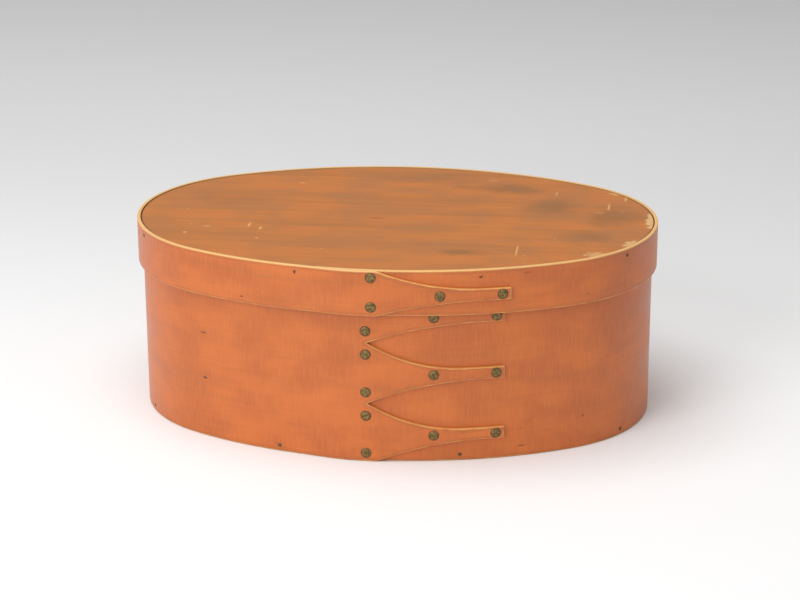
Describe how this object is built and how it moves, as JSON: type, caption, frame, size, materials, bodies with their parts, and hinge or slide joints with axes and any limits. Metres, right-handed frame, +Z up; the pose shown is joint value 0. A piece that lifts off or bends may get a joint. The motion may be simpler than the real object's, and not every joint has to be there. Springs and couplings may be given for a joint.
{
  "type": "oval bentwood box",
  "caption": "Low oval box of thin bent wood with a lift-off lid; walls lapped in long tapered fingers held by small tacks.",
  "frame": {"origin": "middle of the box's underside, on the surface that it stands on", "axes": "+X along the long axis, fingers pointing to +X; -Y is the lapped front; +Z is up and is the way the lid lifts"},
  "size_m": [0.2418, 0.1669, 0.0901],
  "materials": {
    "painted_maple": "worn thin orange wash",
    "painted_pine": "worn thin orange-brown wash",
    "pine": "bare, aged",
    "copper": "dull, tarnished",
    "peg_wood": "darkened end grain"
  },
  "bodies": {
    "box": {"box_band": "painted_maple", "box_bottom": "pine", "upper_finger_tacks": "copper", "middle_finger_tacks": "copper", "lower_finger_tacks": "copper", "bottom_pegs": "peg_wood"},
    "lid": {"lid_band": "painted_maple", "lid_top": "painted_pine", "lid_finger_tacks": "copper", "lid_pegs": "peg_wood"}
  },
  "joints": [
    {"name": "lid_lift", "type": "slide", "parent": "box", "child": "lid", "axis": [0, 0, 1], "range_m": [0, 0.07]}
  ]
}
